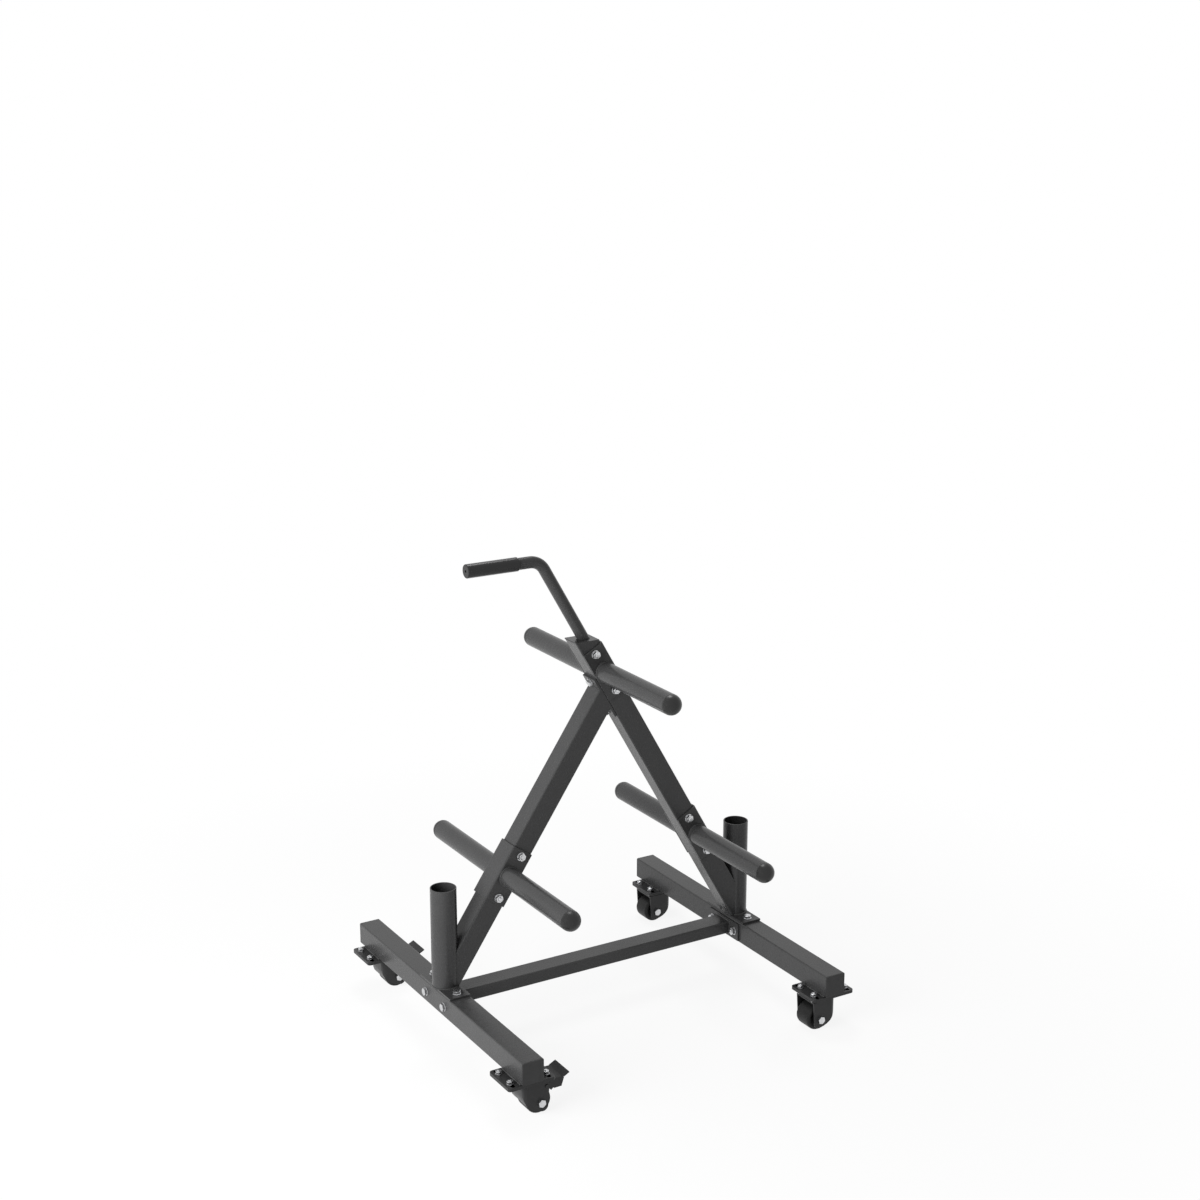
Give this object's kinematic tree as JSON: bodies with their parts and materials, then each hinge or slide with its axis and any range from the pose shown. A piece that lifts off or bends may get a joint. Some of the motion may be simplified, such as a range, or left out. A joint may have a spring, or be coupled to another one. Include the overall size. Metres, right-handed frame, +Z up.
{
  "type": "barbell storage rack",
  "caption": "Wheeled A-frame rack of square steel tube with domed plate pegs on both sides, upright bar holders and a pull handle.",
  "frame": {"origin": "on the floor, under the middle of the rack's bounding box", "axes": "+Z up; +X along the cross tube, with the pull handle pointing to -X; +Y along the base tubes, towards the rear pegs"},
  "size_m": [0.96, 0.87, 1.1834],
  "materials": {
    "powder_coat": "fine matt charcoal powder coat",
    "caster_metal": "black satin e-coat",
    "zinc": "bright zinc plate",
    "peg_cap": "glossy black",
    "end_cap": "matt charcoal plastic",
    "wheel_rubber": "matt black tread",
    "grip_rubber": "matt black rubber sleeve"
  },
  "bodies": {
    "frame": {"left_base_tube": "powder_coat", "right_base_tube": "powder_coat", "left_front_end_cap": "end_cap", "left_rear_end_cap": "end_cap", "right_front_end_cap": "end_cap", "right_rear_end_cap": "end_cap", "cross_tube": "powder_coat", "left_front_cross_bolt": "zinc", "left_rear_cross_bolt": "zinc", "right_front_cross_bolt": "zinc", "right_rear_cross_bolt": "zinc", "left_bar_holder": "powder_coat", "right_bar_holder": "powder_coat", "left_front_holder_bolt": "zinc", "left_rear_holder_bolt": "zinc", "right_front_holder_bolt": "zinc", "right_rear_holder_bolt": "zinc", "left_upright": "powder_coat", "right_upright": "powder_coat", "left_saddle": "powder_coat", "right_saddle": "powder_coat", "top_saddle": "powder_coat", "left_front_peg": "powder_coat", "left_rear_peg": "powder_coat", "right_front_peg": "powder_coat", "right_rear_peg": "powder_coat", "top_front_peg": "powder_coat", "top_rear_peg": "powder_coat", "left_front_peg_cap": "peg_cap", "left_rear_peg_cap": "peg_cap", "right_front_peg_cap": "peg_cap", "right_rear_peg_cap": "peg_cap", "top_front_peg_cap": "peg_cap", "top_rear_peg_cap": "peg_cap", "left_lower_saddle_bolt": "zinc", "left_upper_saddle_bolt": "zinc", "right_lower_saddle_bolt": "zinc", "right_upper_saddle_bolt": "zinc", "top_lower_saddle_bolt": "zinc", "top_upper_saddle_bolt": "zinc", "pull_handle": "powder_coat", "handle_grip": "grip_rubber", "front_left_caster_plate": "caster_metal", "rear_left_caster_plate": "caster_metal", "front_right_caster_plate": "caster_metal", "rear_right_caster_plate": "caster_metal"},
    "front_left_swivel": {"front_left_caster_fork": "caster_metal", "front_left_axle_bolt": "zinc"},
    "rear_left_swivel": {"rear_left_caster_fork": "caster_metal", "rear_left_axle_bolt": "zinc"},
    "front_right_swivel": {"front_right_caster_fork": "caster_metal", "front_right_axle_bolt": "zinc"},
    "rear_right_swivel": {"rear_right_caster_fork": "caster_metal", "rear_right_axle_bolt": "zinc"},
    "front_left_roller": {"front_left_wheel": "wheel_rubber"},
    "rear_left_roller": {"rear_left_wheel": "wheel_rubber"},
    "front_right_roller": {"front_right_wheel": "wheel_rubber"},
    "rear_right_roller": {"rear_right_wheel": "wheel_rubber"},
    "front_left_brake": {"front_left_brake_pedal": "caster_metal"},
    "rear_left_brake": {"rear_left_brake_pedal": "caster_metal"}
  },
  "joints": [
    {"name": "front_left_swivel_turn", "type": "hinge", "parent": "frame", "child": "front_left_swivel", "pos_m": [-0.42, -0.383, 0.0775], "axis": [0, 0, 1], "continuous": true},
    {"name": "rear_left_swivel_turn", "type": "hinge", "parent": "frame", "child": "rear_left_swivel", "pos_m": [-0.42, 0.362, 0.0775], "axis": [0, 0, 1], "continuous": true},
    {"name": "front_right_swivel_turn", "type": "hinge", "parent": "frame", "child": "front_right_swivel", "pos_m": [0.42, -0.383, 0.0775], "axis": [0, 0, 1], "continuous": true},
    {"name": "rear_right_swivel_turn", "type": "hinge", "parent": "frame", "child": "rear_right_swivel", "pos_m": [0.42, 0.362, 0.0775], "axis": [0, 0, 1], "continuous": true},
    {"name": "front_left_wheel_roll", "type": "hinge", "parent": "front_left_swivel", "child": "front_left_roller", "pos_m": [-0.391, -0.383, 0.031], "axis": [0, 1, 0], "continuous": true},
    {"name": "rear_left_wheel_roll", "type": "hinge", "parent": "rear_left_swivel", "child": "rear_left_roller", "pos_m": [-0.391, 0.362, 0.031], "axis": [0, 1, 0], "continuous": true},
    {"name": "front_right_wheel_roll", "type": "hinge", "parent": "front_right_swivel", "child": "front_right_roller", "pos_m": [0.391, -0.383, 0.031], "axis": [0, 1, 0], "continuous": true},
    {"name": "rear_right_wheel_roll", "type": "hinge", "parent": "rear_right_swivel", "child": "rear_right_roller", "pos_m": [0.391, 0.362, 0.031], "axis": [0, 1, 0], "continuous": true},
    {"name": "front_left_brake_press", "type": "hinge", "parent": "front_left_swivel", "child": "front_left_brake", "pos_m": [-0.376, -0.383, 0.0685], "axis": [0, 1, 0], "range_deg": [0, 9]},
    {"name": "rear_left_brake_press", "type": "hinge", "parent": "rear_left_swivel", "child": "rear_left_brake", "pos_m": [-0.376, 0.362, 0.0685], "axis": [0, 1, 0], "range_deg": [0, 9]}
  ]
}
